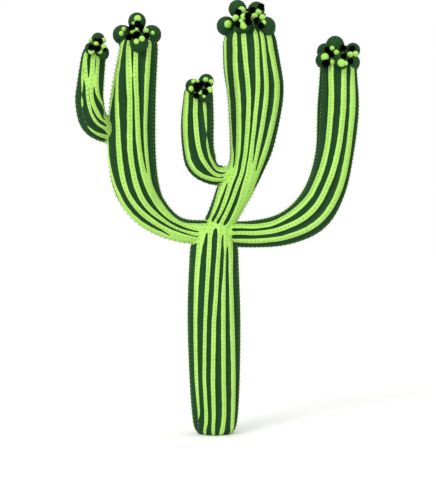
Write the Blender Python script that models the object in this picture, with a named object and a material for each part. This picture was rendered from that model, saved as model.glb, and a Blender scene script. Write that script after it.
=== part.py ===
"""Columnar cactus with a ribbed trunk, two great arms, two small arms and round buds on each tip.

Lengths are in metres, +Z is up and the front of the plant faces -Y. The origin is the middle
of the flat cut under the trunk, at ground level.
"""

import math
from dataclasses import dataclass

import bmesh
import bpy
import numpy as np
from mathutils import Matrix, Vector

# Room left between two pieces that touch on the plant
GAP = 0.0003
# Depth of a furrow, as a share of the width of its rib
FURROW_DEPTH = 0.30
# Cross-section of one rib, as (share of the way to the next crest, share of the furrow's depth)
RIB_SECTION = ((-0.18, 0.0), (0.18, 0.0), (0.5, 1.0))
# Rings that close the rounded tip of a limb, as degrees up its quarter circle
TIP_RINGS = (24, 45, 63, 78)

# Young buds and the dried remains of flowers are small knobs on the round buds
KNOB_RADIUS = 0.027
# Distance of a knob's middle above the skin of its bud
KNOB_STAND = 0.006
# How far in front of its bud's middle a knob sits at least, as a share of the bud's radius
KNOB_LEAST_DEPTH = 0.5
# Least distance of a knob from the middle of the rounded tip, as a share of the tip's own reach
KNOB_TIP_REACH = 1.3

# Colours as linear RGB: the stem is the mean of pale crests and dark furrows
STEM_GREEN = (0.12, 0.29, 0.07)
BUD_GREEN = (0.018, 0.070, 0.022)


@dataclass
class Limb:
    """One ribbed column or arm, built in two sections that meet on a flat cut."""

    sections: tuple
    # Middle of the limb and its radius over the crests: (x, y, z, radius)
    stations: tuple
    # Rings in each stretch from one station to the next
    rings: int
    # Station at which the limb is cut in two
    cut: int
    # Courses of the rib crests that show from the front. Each row holds the number of a station
    # and the angles there, in degrees from the front
    crests: tuple
    # Ribs spread evenly over the rest of the girth
    back_ribs: int
    # Height of the rounded tip above the last station
    tip_height: float
    # Name of the limb that this one grows from
    grows_from: str = ""


LIMBS = {
    "column": Limb(
        sections=("trunk", "upper_stem"),
        stations=(
            (0.000, 0.00, 0.000, 0.170),
            (0.000, 0.00, 0.075, 0.213),
            (0.000, 0.00, 0.235, 0.236),
            (-0.005, 0.00, 0.585, 0.256),
            (-0.010, 0.00, 1.135, 0.267),
            (-0.010, 0.00, 1.635, 0.254),
            (-0.002, 0.00, 1.905, 0.230),
            (0.032, 0.00, 2.085, 0.176),
            (0.110, 0.00, 2.255, 0.158),
            (0.205, 0.01, 2.445, 0.162),
            (0.295, 0.02, 2.656, 0.185),
            (0.361, 0.03, 2.877, 0.220),
            (0.391, 0.05, 3.189, 0.267),
            (0.395, 0.07, 3.442, 0.286),
            (0.370, 0.08, 3.675, 0.292),
            (0.357, 0.09, 3.847, 0.272),
        ),
        rings=2,
        cut=8,
        crests=(
            (0, (-78, -46, -25, -5, 22, 54, 82)),
            (3, (-74, -44, -22, -3, 22, 48, 78)),
            (5, (-72, -41, -13, 8, 25, 43, 72)),
            (8, (-80, -43, -12, 11, 32, 56, 82)),
            (10, (-96, -60, -34, -8, 12, 30, 54)),
            (11, (-104, -72, -38, -14, 2, 21, 46)),
            (13, (-106, -75, -39, -15, 5, 23, 52)),
            (15, (-106, -76, -36, -15, 12, 28, 48)),
        ),
        back_ribs=7,
        tip_height=0.35,
    ),
    "left_arm": Limb(
        sections=("left_arm_elbow", "left_arm"),
        stations=(
            (-0.010, 0.00, 2.005, 0.125),
            (-0.369, -0.03, 2.045, 0.127),
            (-0.636, -0.08, 2.213, 0.173),
            (-0.777, -0.13, 2.460, 0.226),
            (-0.822, -0.17, 2.824, 0.237),
            (-0.813, -0.20, 3.315, 0.228),
            (-0.752, -0.22, 3.805, 0.184),
        ),
        rings=3,
        cut=2,
        crests=(
            (0, (-60, -22, 4, 28, 48, 84)),
            (2, (-64, -20, 5, 33, 50, 78)),
            (4, (-78, -27, 0, 23, 41, 72)),
            (5, (-82, -41, -3, 14, 40, 71)),
            (6, (-92, -62, -22, 0, 37, 70)),
        ),
        back_ribs=6,
        tip_height=0.22,
        grows_from="column",
    ),
    "right_arm": Limb(
        sections=("right_arm_elbow", "right_arm"),
        stations=(
            (-0.010, 0.00, 2.000, 0.125),
            (0.370, 0.02, 1.995, 0.136),
            (0.698, 0.06, 2.045, 0.167),
            (0.962, 0.10, 2.202, 0.203),
            (1.126, 0.14, 2.460, 0.202),
            (1.209, 0.17, 2.816, 0.195),
            (1.246, 0.19, 3.253, 0.213),
            (1.251, 0.20, 3.639, 0.190),
        ),
        rings=3,
        cut=3,
        crests=(
            (0, (-76, -34, -4, 34, 66)),
            (2, (-78, -42, -6, 33, 64)),
            (4, (-74, -38, -3, 39, 70)),
            (5, (-66, -30, 6, 43, 74)),
            (7, (-60, -25, 13, 45, 78)),
        ),
        back_ribs=6,
        tip_height=0.235,
        grows_from="column",
    ),
    "small_left_arm": Limb(
        sections=("small_left_arm_elbow", "small_left_arm"),
        stations=(
            (-0.857, -0.20, 2.891, 0.130),
            (-1.021, -0.25, 2.976, 0.133),
            (-1.178, -0.29, 3.089, 0.136),
            (-1.225, -0.32, 3.283, 0.137),
            (-1.222, -0.33, 3.439, 0.132),
            (-1.190, -0.34, 3.672, 0.120),
        ),
        rings=3,
        cut=2,
        crests=(
            (0, (-47, -5, 28, 64)),
            (2, (-34, 9, 36, 68)),
            (3, (-30, -1, 19, 58)),
            (4, (-34, -11, 11, 36)),
            (5, (-46, -28, 4, 30)),
        ),
        back_ribs=6,
        tip_height=0.20,
        grows_from="left_arm",
    ),
    "small_centre_arm": Limb(
        sections=("small_centre_arm_elbow", "small_centre_arm"),
        stations=(
            (0.250, 0.00, 2.565, 0.095),
            (0.090, -0.04, 2.568, 0.096),
            (-0.035, -0.08, 2.591, 0.111),
            (-0.134, -0.12, 2.693, 0.155),
            (-0.168, -0.15, 2.855, 0.158),
            (-0.174, -0.17, 3.101, 0.162),
            (-0.164, -0.18, 3.337, 0.146),
        ),
        rings=3,
        cut=3,
        crests=(
            (0, (-24, 8, 48)),
            (2, (-26, 7, 47)),
            (3, (-40, 11, 41)),
            (5, (-51, -6, 32)),
            (6, (-58, -10, 26)),
        ),
        back_ribs=6,
        tip_height=0.18,
        grows_from="column",
    ),
}

# Round buds on each tip: (x, y, z) from the limb's last station, and the radius
BUDS = {
    "column": (
        (-0.130, -0.030, 0.408, 0.091),
        (0.058, -0.020, 0.399, 0.085),
        (-0.243, -0.020, 0.238, 0.097),
        (0.149, -0.160, 0.211, 0.095),
        (-0.077, -0.220, 0.214, 0.088),
        (-0.170, 0.155, 0.211, 0.090),
        (0.010, 0.235, 0.200, 0.092),
        (0.165, 0.120, 0.225, 0.086),
    ),
    "left_arm": (
        (-0.015, 0.000, 0.281, 0.088),
        (-0.155, -0.020, 0.146, 0.098),
        (0.131, -0.030, 0.147, 0.094),
        (0.017, -0.200, 0.039, 0.092),
        (-0.117, 0.175, 0.080, 0.088),
        (0.068, 0.150, 0.120, 0.086),
    ),
    "right_arm": (
        (-0.036, -0.050, 0.275, 0.088),
        (-0.128, 0.085, 0.213, 0.084),
        (-0.149, -0.080, 0.109, 0.084),
        (0.152, 0.060, 0.229, 0.076),
        (0.131, -0.050, 0.097, 0.084),
        (0.019, -0.190, 0.078, 0.073),
        (0.010, 0.185, 0.110, 0.080),
    ),
    "small_left_arm": (
        (0.047, 0.030, 0.225, 0.066),
        (-0.007, -0.140, 0.111, 0.061),
        (0.086, -0.030, 0.085, 0.080),
        (-0.020, 0.120, 0.110, 0.062),
    ),
    "small_centre_arm": (
        (0.077, 0.020, 0.165, 0.076),
        (-0.052, -0.100, 0.104, 0.074),
        (0.070, -0.145, 0.015, 0.072),
        (-0.052, 0.100, 0.100, 0.070),
        (0.060, 0.150, 0.010, 0.072),
    ),
}

# Knobs of each tip as seen from the front: (x, z) from the limb's last station
KNOBS = {
    "column": (
        (-0.225, 0.261), (-0.086, 0.399), (-0.149, 0.323), (-0.065, 0.335), (-0.091, 0.290),
        (-0.069, 0.248), (0.081, 0.381), (0.043, 0.340), (0.121, 0.329), (0.135, 0.277),
        (-0.120, 0.377), (-0.027, 0.344), (-0.021, 0.282), (-0.128, 0.259), (0.022, 0.403),
        (0.108, 0.434), (0.064, 0.302), (0.108, 0.246),
    ),
    "left_arm": (
        (-0.145, 0.206), (-0.169, 0.163), (-0.009, 0.308), (-0.049, 0.263), (-0.057, 0.181),
        (-0.021, 0.197), (0.072, 0.190), (0.139, 0.169), (-0.021, 0.085), (0.033, 0.112),
        (-0.071, 0.220), (-0.009, 0.260), (0.022, 0.218), (-0.015, 0.155), (-0.040, 0.136),
        (-0.094, 0.127), (0.079, 0.143),
    ),
    "right_arm": (
        (-0.063, 0.241), (-0.020, 0.197), (-0.137, 0.150), (-0.061, 0.099), (0.031, 0.093),
        (0.072, 0.089), (0.119, 0.176), (0.172, 0.184), (-0.112, 0.227), (-0.073, 0.176),
        (-0.125, 0.089), (0.052, 0.244), (0.141, 0.237), (0.055, 0.160), (0.124, 0.112),
    ),
    "small_left_arm": (
        (-0.023, 0.209), (0.031, 0.176), (0.102, 0.209), (0.107, 0.147), (-0.016, 0.104),
        (0.069, 0.104), (0.069, 0.203), (0.026, 0.219), (-0.016, 0.142), (0.046, 0.131),
        (0.119, 0.121),
    ),
    "small_centre_arm": (
        (-0.049, 0.163), (-0.009, 0.168), (-0.069, 0.092), (0.072, 0.178), (0.127, 0.160),
        (0.116, 0.082), (0.021, 0.057), (0.056, 0.017), (-0.024, 0.122), (-0.007, 0.090),
        (0.029, 0.145), (0.091, 0.127), (0.066, 0.059), (-0.021, 0.022),
    ),
}


def clear_scene():
    for item in list(bpy.data.objects):
        bpy.data.objects.remove(item)


def make_material(name, colour, roughness):
    material = bpy.data.materials.new(name)
    material.use_nodes = True
    shader = material.node_tree.nodes["Principled BSDF"]
    shader.inputs["Base Color"].default_value = (*colour, 1)
    shader.inputs["Roughness"].default_value = roughness
    shader.inputs["Metallic"].default_value = 0.0
    return material


def add_object(name, mesh_data, location=(0, 0, 0)):
    """Turns a bmesh into an object of the scene."""
    bmesh.ops.recalc_face_normals(mesh_data, faces=mesh_data.faces)
    mesh = bpy.data.meshes.new(name)
    mesh_data.to_mesh(mesh)
    mesh_data.free()
    for polygon in mesh.polygons:
        polygon.use_smooth = True
    item = bpy.data.objects.new(name, mesh)
    item.location = location
    bpy.context.collection.objects.link(item)
    return item


def hide_helper(item):
    item.hide_render = True
    item.display_type = "WIRE"


def add_boolean(item, operation, other):
    modifier = item.modifiers.new(operation.lower(), "BOOLEAN")
    modifier.operation = operation
    modifier.solver = "EXACT"
    modifier.object = other


def smooth_axis(limb):
    """Rows (x, y, z, radius) on a Catmull-Rom curve through the limb's stations."""
    rows = np.array(limb.stations)
    rows = np.vstack([2 * rows[0] - rows[1], rows, 2 * rows[-1] - rows[-2]])
    axis = []
    for before, start, end, after in zip(rows, rows[1:], rows[2:], rows[3:]):
        for t in np.arange(limb.rings) / limb.rings:
            slope = (end - before) * t
            bend = (2 * before - 5 * start + 4 * end - after) * t**2
            twist = (3 * start - before - 3 * end + after) * t**3
            axis.append(start + 0.5 * (slope + bend + twist))
    axis.append(rows[-2])
    return np.array(axis)


def limb_rings(limb, grow=0.0):
    """Rings of the limb, each as (middle, direction, radius, number of its station).

    The skin is moved outwards by the length grow.
    """
    axis = smooth_axis(limb)
    directions = np.gradient(axis[:, :3], axis=0)
    rings = []
    for number, (row, direction) in enumerate(zip(axis, directions)):
        station = number / limb.rings
        radius = float(row[3]) + grow
        rings.append((Vector(row[:3]), Vector(direction).normalized(), radius, station))
    middle, direction, radius, station = rings[-1]
    for degrees in TIP_RINGS:
        rise = (limb.tip_height + grow) * math.sin(math.radians(degrees))
        narrowed = radius * math.cos(math.radians(degrees))
        rings.append((middle + direction * rise, direction, narrowed, station))
    return rings


def crest_angles(limb, station):
    """Angles of all rib crests round the limb, in degrees from the front."""
    row_stations = [row_station for row_station, _ in limb.crests]
    courses = zip(*[angles for _, angles in limb.crests])
    front = [np.interp(station, row_stations, course) for course in courses]
    back = np.linspace(front[-1], front[0] + 360, limb.back_ribs + 2)[1:-1]
    return [*front, *back.tolist()]


def ring_points(limb, ring):
    """Corners of one ribbed ring, as seen from the tip, starting at the first crest."""
    middle, direction, radius, station = ring
    front = Vector((0, -1, 0))
    front = (front - direction * front.dot(direction)).normalized()
    side = direction.cross(front)
    crests = crest_angles(limb, station)
    following = [*crests[1:], crests[0] + 360]
    points = []
    for crest, neighbour in zip(crests, following):
        width = radius * math.radians(neighbour - crest)
        for share, sink in RIB_SECTION:
            angle = math.radians(crest + share * (neighbour - crest))
            reach = radius - FURROW_DEPTH * width * sink
            points.append(middle + reach * (math.cos(angle) * front + math.sin(angle) * side))
    return points


def add_ribbed_solid(name, limb, rings):
    """One closed ribbed solid through the given rings."""
    mesh_data = bmesh.new()
    loops = []
    for ring in rings:
        loops.append([mesh_data.verts.new(point) for point in ring_points(limb, ring)])
    corners = len(loops[0])
    for lower, upper in zip(loops, loops[1:]):
        for k in range(corners):
            mesh_data.faces.new((lower[k - 1], lower[k], upper[k], upper[k - 1]))
    ends = [mesh_data.faces.new(reversed(loops[0])), mesh_data.faces.new(loops[-1])]
    bmesh.ops.poke(mesh_data, faces=ends)
    # A twisted rib's four-sided faces aren't flat, so each is split the same way in every copy
    bmesh.ops.triangulate(mesh_data, faces=mesh_data.faces, quad_method="FIXED")
    return add_object(name, mesh_data)


def add_limb(name, limb):
    """Both sections of a limb, and the slightly larger hidden copy that cuts what grows on it."""
    rings = limb_rings(limb)
    cut = limb.cut * limb.rings
    middle, direction, radius, station = rings[cut]
    raised = (middle + direction * GAP, direction, radius, station)
    sections = (rings[: cut + 1], [raised, *rings[cut + 1 :]])
    for section, section_rings in zip(limb.sections, sections):
        item = add_ribbed_solid(section, limb, section_rings)
        item.data.materials.append(make_material(f"{section}_skin", STEM_GREEN, 0.55))
        if limb.grows_from:
            add_boolean(item, "DIFFERENCE", bpy.data.objects[f"{limb.grows_from}_cutter"])
    hide_helper(add_ribbed_solid(f"{name}_cutter", limb, limb_rings(limb, grow=GAP)))


def knob_places(buds, knobs, limb):
    """Places of the knobs, each as (number of its bud, middle, measured from the limb's tip).

    A knob sits on the foremost bud that covers it, and once more at the back, turned half
    round. One that would touch the limb, another bud or another knob is left out.
    """
    tip_radius = limb.stations[-1][3]
    places = []
    for facing in (-1, 1):
        for x, z in knobs:
            seats = []
            for number, (bud_x, bud_y, bud_z, radius) in enumerate(buds):
                across = -facing * x - bud_x
                rise = z - bud_z
                depth_squared = radius**2 - across**2 - rise**2
                if depth_squared > (KNOB_LEAST_DEPTH * radius) ** 2:
                    depth = math.sqrt(depth_squared)
                    outward = Vector((across, facing * depth, rise)).normalized()
                    middle = Vector((bud_x, bud_y, bud_z)) + outward * (radius + KNOB_STAND)
                    seats.append((facing * middle.y, number, middle))
            if not seats:
                continue
            number, middle = max(seats)[1:]
            on_tip = (middle.x / tip_radius, middle.y / tip_radius, middle.z / limb.tip_height)
            clear = [Vector(on_tip).length > KNOB_TIP_REACH]
            clear += [
                (middle - Vector(bud[:3])).length > bud[3] + KNOB_RADIUS + GAP
                for other, bud in enumerate(buds)
                if other != number
            ]
            clear += [(middle - placed).length > 2 * KNOB_RADIUS + GAP for _, placed in places]
            if all(clear):
                places.append((number, middle))
    return places


def add_buds(name, limb):
    """The round buds of one tip with their knobs fused on, each cut to sit on the limb."""
    tip = Vector(limb.stations[-1][:3])
    places = knob_places(BUDS[name], KNOBS[name], limb)
    for number, (x, y, z, radius) in enumerate(BUDS[name]):
        middle = Vector((x, y, z))
        mesh_data = bmesh.new()
        bmesh.ops.create_uvsphere(mesh_data, u_segments=12, v_segments=6, radius=radius)
        bud = add_object(f"{limb.sections[1]}_bud_{number + 1}", mesh_data, tip + middle)
        bud.data.materials.append(make_material(f"{bud.name}_skin", BUD_GREEN, 0.45))
        knobs = bmesh.new()
        for bud_number, knob in places:
            if bud_number == number:
                place = Matrix.Translation(knob - middle)
                bmesh.ops.create_icosphere(knobs, subdivisions=1, radius=KNOB_RADIUS, matrix=place)
        if knobs.verts:
            helper = add_object(f"{bud.name}_knobs", knobs, tip + middle)
            hide_helper(helper)
            add_boolean(bud, "UNION", helper)
        add_boolean(bud, "DIFFERENCE", bpy.data.objects[f"{name}_cutter"])


clear_scene()
for limb_name, limb in LIMBS.items():
    add_limb(limb_name, limb)
    add_buds(limb_name, limb)
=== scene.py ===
import math

import bpy
import numpy as np
from mathutils import Matrix, Vector


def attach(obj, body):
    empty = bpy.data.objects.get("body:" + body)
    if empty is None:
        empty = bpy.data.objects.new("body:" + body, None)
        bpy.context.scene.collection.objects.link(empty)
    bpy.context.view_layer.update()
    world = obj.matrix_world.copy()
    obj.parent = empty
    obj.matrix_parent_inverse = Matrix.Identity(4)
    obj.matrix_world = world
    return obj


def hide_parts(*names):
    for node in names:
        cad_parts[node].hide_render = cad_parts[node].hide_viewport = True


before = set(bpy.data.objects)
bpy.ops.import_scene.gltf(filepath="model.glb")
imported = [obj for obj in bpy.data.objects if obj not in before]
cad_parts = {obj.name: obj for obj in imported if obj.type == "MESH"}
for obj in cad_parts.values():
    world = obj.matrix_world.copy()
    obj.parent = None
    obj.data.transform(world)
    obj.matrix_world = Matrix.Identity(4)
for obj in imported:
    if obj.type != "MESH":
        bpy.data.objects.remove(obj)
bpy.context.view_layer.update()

# View and light
# The plant is seen level from the front, from 14 m away, so that one pixel of the picture is
# 10 mm on the plant. A soft key light from the upper left and a white sky all round light it.
VIEW_POINT = Vector((0.03, -14.0, 1.935))
LENS_MM = 105
FARTHEST_SEEN = 400
SKY_WHITE = (1, 1, 1, 1)
SKY_STRENGTH = 1.0
KEY_PLACE = (0, 0, 8)
KEY_DIRECTION = Vector((0.45, 0.80, -0.62))
KEY_SOFTNESS = math.radians(24)
KEY_STRENGTH = 1.3

bpy.ops.object.select_all(action="DESELECT")
bpy.ops.object.camera_add(location=VIEW_POINT, rotation=(math.radians(90), 0, 0))
camera = bpy.context.object
camera.data.lens = LENS_MM
camera.data.clip_end = FARTHEST_SEEN
bpy.context.scene.camera = camera

sky = bpy.data.worlds.new("pale_sky")
sky.use_nodes = True
sky_light = sky.node_tree.nodes["Background"]
sky_light.inputs["Color"].default_value = SKY_WHITE
sky_light.inputs["Strength"].default_value = SKY_STRENGTH
bpy.context.scene.world = sky
bpy.context.scene.view_settings.view_transform = "Standard"

key_turn = KEY_DIRECTION.to_track_quat("-Z", "Y").to_euler()
bpy.ops.object.light_add(type="SUN", location=KEY_PLACE, rotation=key_turn)
key_light = bpy.context.object
key_light.data.angle = KEY_SOFTNESS
key_light.data.energy = KEY_STRENGTH


# Floor
# A wide pale studio floor, laid level under the plant's foot. Its paint is matt and faintly
# mottled, and it takes the plant's soft shadow.
FLOOR_RADIUS = 150.0
FLOOR_SIDES = 96
FLOOR_COLOUR = (0.93, 0.93, 0.92)
FLOOR_LIGHTER = 1.02


def new_material(name, roughness, specular):
    """A material with its shader, its nodes, its links and the socket of object coordinates."""
    material = bpy.data.materials.new(name)
    material.use_nodes = True
    nodes, links = material.node_tree.nodes, material.node_tree.links
    shader = nodes["Principled BSDF"]
    shader.inputs["Roughness"].default_value = roughness
    shader.inputs["Specular IOR Level"].default_value = specular
    place = nodes.new("ShaderNodeTexCoord").outputs["Object"]
    return material, shader, nodes, links, place


def noise(nodes, links, coordinates, scale, detail):
    """A noise texture on the given coordinates. Returns the socket of its value."""
    texture = nodes.new("ShaderNodeTexNoise")
    texture.inputs["Scale"].default_value = scale
    texture.inputs["Detail"].default_value = detail
    links.new(coordinates, texture.inputs["Vector"])
    return texture.outputs["Fac"]


def blend_colours(nodes, links, share, first, second):
    """A mix of two colours, each given as linear RGB or as a socket. Returns its socket."""
    mix = nodes.new("ShaderNodeMix")
    mix.data_type = "RGBA"
    links.new(share, mix.inputs["Factor"])
    for socket, colour in ((mix.inputs[6], first), (mix.inputs[7], second)):
        if isinstance(colour, tuple):
            socket.default_value = (*colour, 1)
        else:
            links.new(colour, socket)
    return mix.outputs[2]


def spread(nodes, links, value, low, high, smooth=False):
    """The value stretched so that low becomes 0 and high becomes 1, and no further."""
    stretch = nodes.new("ShaderNodeMapRange")
    stretch.interpolation_type = "SMOOTHSTEP" if smooth else "LINEAR"
    stretch.inputs["From Min"].default_value = low
    stretch.inputs["From Max"].default_value = high
    links.new(value, stretch.inputs["Value"])
    return stretch.outputs["Result"]


bpy.ops.mesh.primitive_circle_add(vertices=FLOOR_SIDES, radius=FLOOR_RADIUS, fill_type="NGON")
floor = bpy.context.object
floor.name = "floor"
floor_finish, shader, nodes, links, place = new_material("pale_floor", roughness=0.9, specular=0.1)
mottle = noise(nodes, links, place, scale=1.5, detail=3)
lighter_colour = tuple(FLOOR_LIGHTER * part for part in FLOOR_COLOUR)
floor_mix = blend_colours(nodes, links, mottle, FLOOR_COLOUR, lighter_colour)
links.new(floor_mix, shader.inputs["Base Color"])
floor.data.materials.append(floor_finish)


# Column: trunk and leaning upper stem
# One living column of watery flesh round woody rods, pleated so that it can swell with rain.
# The waxy skin is lime green on the rib crests and dark green in the furrows, partly its own
# darker green and partly painted shade. Each limb is a circle extruded from ring to ring, with
# its corners then set on the ribs and smoothed.

# Rings: metres between them, the fine curve's step in stations, the arc of a tip as a share of
# its height, and the degrees of that arc at the last ring
RING_STEP = 0.020
CURVE_STEP = 0.02
TIP_ARC = 1.4
TIP_CLIMB = 86
# Pleats: depth as a share of a rib's width, the part of it left where a furrow closes up, the
# opening in metres that makes a furrow full, and the power of the flanks' curve
FURROW_DEPTH = 0.30
CLOSED_FURROW = 0.25
FURROW_OPENING = 0.020
FLANK_CURVE = 2.1
# The least of a flank as a share of its rib, of half a lime band as a share of the flank it
# lies on, and of half a furrow in degrees
LEAST_FLANK = 0.2
LEAST_BAND = 0.12
LEAST_HALF_GAP = 0.4
# Crests: corners of a rib, rings over which a bend is eased, and metres of swelling
CORNERS_PER_RIB = 6
CREST_EASE = 3
CREST_SWELL = 0.0022
# Lime: degrees of a band that is bare and of one that is full, the value at a band's edge and
# on a dark crest, and the shares of the full radius between which the crown turns dark. The
# dark crests of the side ribs and the dark crown under the buds are painted shade
PAINTED_SHADE_WIDTH = 2.0
FULL_WIDTH = 6.0
BAND_EDGE = 0.5
PAINTED_SHADE_LEVEL = 0.3
BUD_SHADE_START = 0.86
BUD_SHADE_END = 0.94
# Finish: how far a band's edge wanders and blurs, wrinkles in each metre along and round a
# limb, and the roughness of smooth and of worn wax
EDGE_WANDER = 0.14
EDGE_BLUR = 0.025
WRINKLES_ALONG = 90
WRINKLES_ROUND = 7.0
WAX_ROUGHNESS = 0.46
WORN_ROUGHNESS = 0.68
# Colours of the crests and of the furrows, whose dark green is partly the skin's own and partly
# painted shade
LIME = (0.370, 0.680, 0.118)
PALE_LIME = (0.420, 0.730, 0.150)
FURROW_GREEN_AND_SHADE = (0.0115, 0.0510, 0.0120)
BLUE_GREEN_AND_SHADE = (0.0140, 0.0560, 0.0190)

# Middles and radii of the column from its foot up: (x, y, z, radius)
COLUMN_STATIONS = (
    (0.000, 0.00, 0.000, 0.170),
    (0.000, 0.00, 0.075, 0.213),
    (0.000, 0.00, 0.235, 0.236),
    (-0.004, 0.00, 0.585, 0.256),
    (-0.010, 0.00, 1.135, 0.268),
    (-0.011, 0.00, 1.635, 0.254),
    (-0.003, 0.00, 1.905, 0.232),
    (0.038, 0.00, 2.085, 0.155),
    (0.115, 0.00, 2.255, 0.160),
    (0.203, 0.01, 2.445, 0.181),
    (0.307, 0.02, 2.656, 0.180),
    (0.365, 0.03, 2.877, 0.222),
    (0.396, 0.05, 3.189, 0.265),
    (0.404, 0.07, 3.442, 0.290),
    (0.373, 0.08, 3.675, 0.291),
    (0.356, 0.09, 3.847, 0.280),
)
# Ribs seen from the front, left to right: (station, degrees of the crests, degrees of lime)
# A lime of two degrees leaves a rib dark all over, which on the ribs turned to the sides is
# painted shade
COLUMN_RIBS = (
    (0.0, (-89, -71, -54, -37, -5, 20, 64, 77, 90), (8, 2, 2, 9, 9, 13, 10, 2, 8)),
    (0.5, (-89, -71, -53, -34, -5, 21, 66, 79, 91), (8, 2, 2, 11, 11, 15, 15, 2, 8)),
    (1.0, (-89, -70, -50, -27, -5, 22, 59, 77, 90), (8, 2, 2, 9, 10, 14, 23, 2, 8)),
    (1.5, (-89, -69, -47, -23, -4, 23, 54, 74, 89), (8, 2, 2, 10, 9, 13, 19, 2, 8)),
    (2.0, (-89, -68, -43, -22, -3, 24, 54, 74, 89), (8, 2, 7, 10, 10, 13, 19, 2, 8)),
    (3.0, (-89, -68, -47, -24, -4, 21, 50, 72, 89), (8, 2, 12, 9, 10, 11, 17, 2, 8)),
    (4.0, (-89, -67, -45, -19, 0, 21, 44, 68, 89), (8, 2, 12, 8, 10, 11, 15, 2, 8)),
    (4.5, (-89, -67, -44, -16, 5, 22, 43, 67, 89), (8, 2, 14, 9, 10, 11, 13, 2, 8)),
    (5.0, (-89, -67, -43, -13, 8, 25, 43, 67, 89), (8, 2, 17, 10, 11, 6, 14, 2, 8)),
    (5.5, (-89, -67, -40, -12, 11, 27, 45, 68, 89), (8, 2, 18, 12, 10, 6, 17, 2, 8)),
    (5.85, (-89, -66, -41, -12, 12, 28, 45, 70, 89), (8, 2, 22, 12, 12, 9, 20, 2, 8)),
    (5.95, (-89, -66, -42, -12, 12, 29, 45, 70, 89), (24, 30, 28, 12, 12, 13, 22, 2, 8)),
    (6.2, (-89, -66, -42, -15, 12, 31, 47, 71, 89), (24, 30, 26, 14, 13, 17, 24, 2, 8)),
    (6.4, (-89, -66, -42, -17, 12, 31, 47, 72, 89), (24, 30, 26, 18, 16, 18, 26, 4, 10)),
    (6.5, (-89, -66, -42, -20, 13, 31, 48, 72, 89), (24, 30, 30, 20, 18, 18, 28, 6, 12)),
    (6.6, (-89, -66, -42, -22, 13, 32, 48, 70, 88), (24, 30, 32, 20, 22, 26, 28, 16, 20)),
    (6.7, (-89, -66, -42, -22, 12, 32, 48, 68, 88), (24, 30, 34, 17, 24, 28, 30, 26, 24)),
    (6.78, (-89, -66, -42, -21, 11, 32, 48, 68, 88), (24, 30, 34, 36, 34, 32, 30, 26, 24)),
    (6.96, (-90, -67, -43, -21, 9, 34, 52, 70, 88), (24, 30, 34, 36, 34, 32, 26, 26, 24)),
    (7.02, (-91, -68, -44, -21, 8, 36, 54, 71, 88), (6, 2, 38, 13, 25, 34, 24, 26, 24)),
    (7.1, (-91, -69, -46, -19, 7, 38, 56, 72, 88), (6, 2, 13, 10, 18, 40, 24, 24, 24)),
    (7.2, (-91, -69, -44, -16, 7, 42, 58, 73, 88), (6, 2, 15, 11, 18, 20, 22, 22, 22)),
    (7.5, (-91, -70, -45, -14, 9, 43, 59, 74, 88), (6, 2, 24, 13, 18, 19, 22, 22, 22)),
    (8.0, (-92, -72, -50, -15, 8, 42, 59, 75, 89), (6, 2, 32, 18, 17, 21, 24, 22, 22)),
    (8.5, (-94, -75, -54, -18, 6, 36, 56, 73, 88), (6, 2, 36, 19, 16, 20, 30, 22, 22)),
    (9.0, (-98, -79, -56, -22, 2, 27, 49, 70, 87), (8, 6, 44, 20, 16, 18, 34, 26, 20)),
    (9.25, (-100, -81, -58, -27, 0, 22, 44, 66, 86), (8, 8, 48, 23, 16, 16, 34, 26, 16)),
    (9.5, (-102, -82, -60, -30, -3, 18, 39, 60, 84), (8, 8, 46, 25, 15, 17, 34, 26, 6)),
    (9.75, (-103, -83, -61, -32, -6, 15, 33, 56, 82), (8, 8, 36, 20, 16, 17, 30, 28, 4)),
    (10.0, (-106, -88, -69, -39, -11, 9, 26, 51, 79), (8, 6, 29, 20, 16, 18, 18, 28, 3)),
    (10.5, (-112, -94, -75, -41, -14, 4, 21, 46, 77), (10, 4, 27, 21, 15, 16, 15, 25, 2)),
    (11.0, (-116, -100, -82, -40, -16, 0, 18, 45, 76), (10, 4, 25, 19, 14, 12, 14, 21, 2)),
    (12.0, (-118, -102, -83, -40, -15, 1, 21, 52, 78), (10, 4, 22, 15, 11, 10, 12, 21, 2)),
    (13.0, (-118, -102, -84, -42, -16, 4, 22, 52, 78), (10, 4, 22, 15, 10, 10, 11, 20, 2)),
    (14.0, (-116, -99, -79, -38, -14, 10, 26, 50, 76), (10, 3, 24, 13, 10, 10, 11, 19, 2)),
    (15.0, (-116, -98, -77, -35, -14, 13, 28, 48, 74), (10, 3, 22, 12, 12, 11, 12, 19, 2)),
)
# Lime share of each rib at the back, from the right-hand side round to the left
COLUMN_BACK = (0.42, 0.42, 0.46, 0.42, 0.46, 0.42)
COLUMN_TIP_HEIGHT = 0.35


def unit(vectors):
    """The same directions, each one metre long."""
    return vectors / np.linalg.norm(vectors, axis=-1, keepdims=True)


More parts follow.
